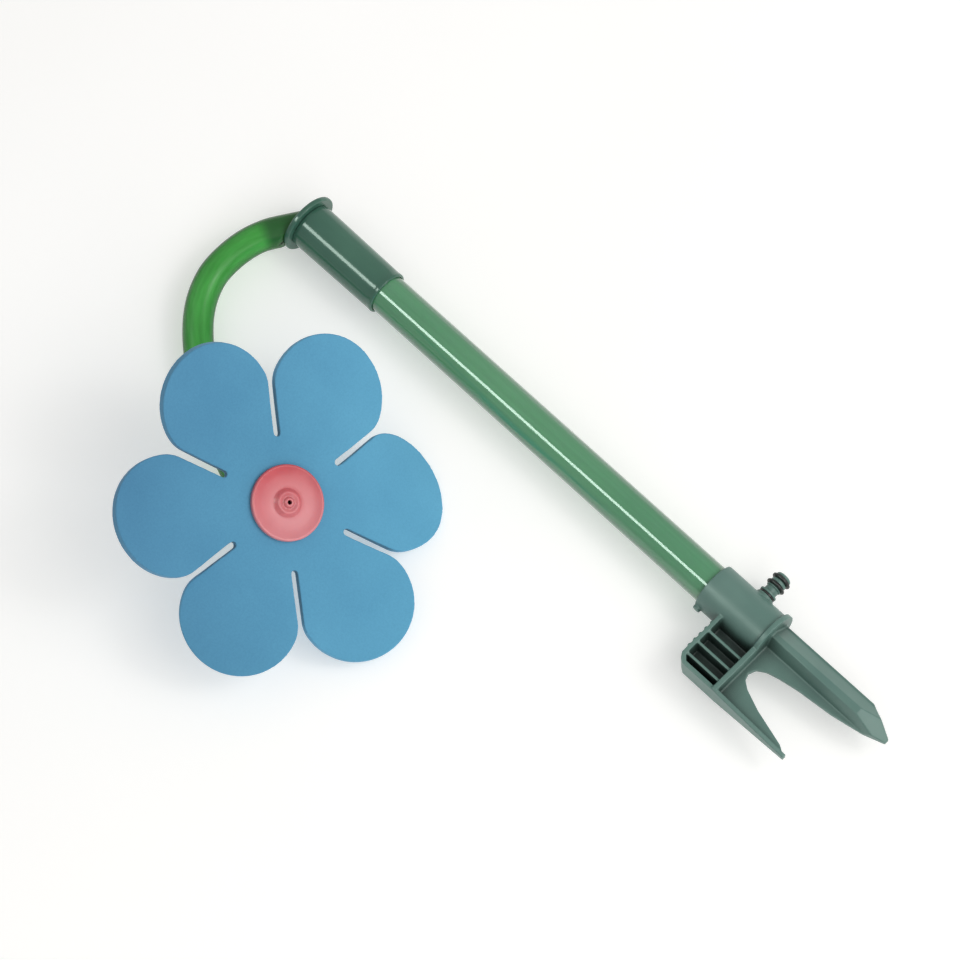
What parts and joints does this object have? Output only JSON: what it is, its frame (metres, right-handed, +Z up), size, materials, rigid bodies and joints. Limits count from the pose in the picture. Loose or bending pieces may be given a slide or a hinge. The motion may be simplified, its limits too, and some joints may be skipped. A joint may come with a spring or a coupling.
{
  "type": "flower hose sprinkler",
  "caption": "Garden sprinkler on a ground stake: a riser pole with a swivel carries an arched flexible hose and a foam flower that holds the outlet nozzle.",
  "frame": {"origin": "the blunt tip of the main spike, on the riser pole's axis", "axes": "+Z up along the riser pole; +X towards the hose inlet; the flower hangs on the -X side and faces -Y"},
  "size_m": [0.2733, 0.1089, 0.4999],
  "materials": {
    "stake_green": "moulded, fine satin texture, opaque grey-green",
    "riser_green": "glossy, slightly translucent mid green",
    "socket_green": "glossy dark green, opaque",
    "hose_green": "soft translucent bright green, glossy",
    "foam_blue": "closed-cell foam, matt sky blue, fine grain",
    "cap_coral": "satin coral pink",
    "seal_black": "smooth black rubber",
    "washer_white": "plain natural white",
    "spring_steel": "bright spring steel"
  },
  "bodies": {
    "stake_and_riser": {"stake": "stake_green", "inlet_nipple": "stake_green", "inlet_gasket": "seal_black", "inlet_o_ring_inner": "seal_black", "inlet_o_ring_outer": "seal_black", "riser_pole": "riser_green", "riser_lower_seal": "seal_black", "riser_upper_seal": "seal_black", "top_socket": "socket_green", "thrust_washer": "washer_white"},
    "swivel_head": {"swivel_elbow": "socket_green", "swivel_o_ring": "seal_black", "swivel_retaining_ring": "spring_steel", "hose_lower": "hose_green"},
    "flower_head": {"hose_upper": "hose_green", "flower": "foam_blue", "nozzle_stem": "socket_green", "nozzle_cap": "cap_coral", "backing_washer": "washer_white", "nozzle_seal": "seal_black"}
  },
  "joints": [
    {"name": "head_spin", "type": "hinge", "parent": "stake_and_riser", "child": "swivel_head", "pos_m": [0, 0, 0.4698], "axis": [0, 0, 1], "continuous": true},
    {"name": "hose_flex", "type": "hinge", "parent": "swivel_head", "child": "flower_head", "pos_m": [-0.06587, 0.00399, 0.48964], "axis": [0, 1, 0], "range_deg": [-8, 45], "stiffness_Nm_per_rad": 10}
  ]
}
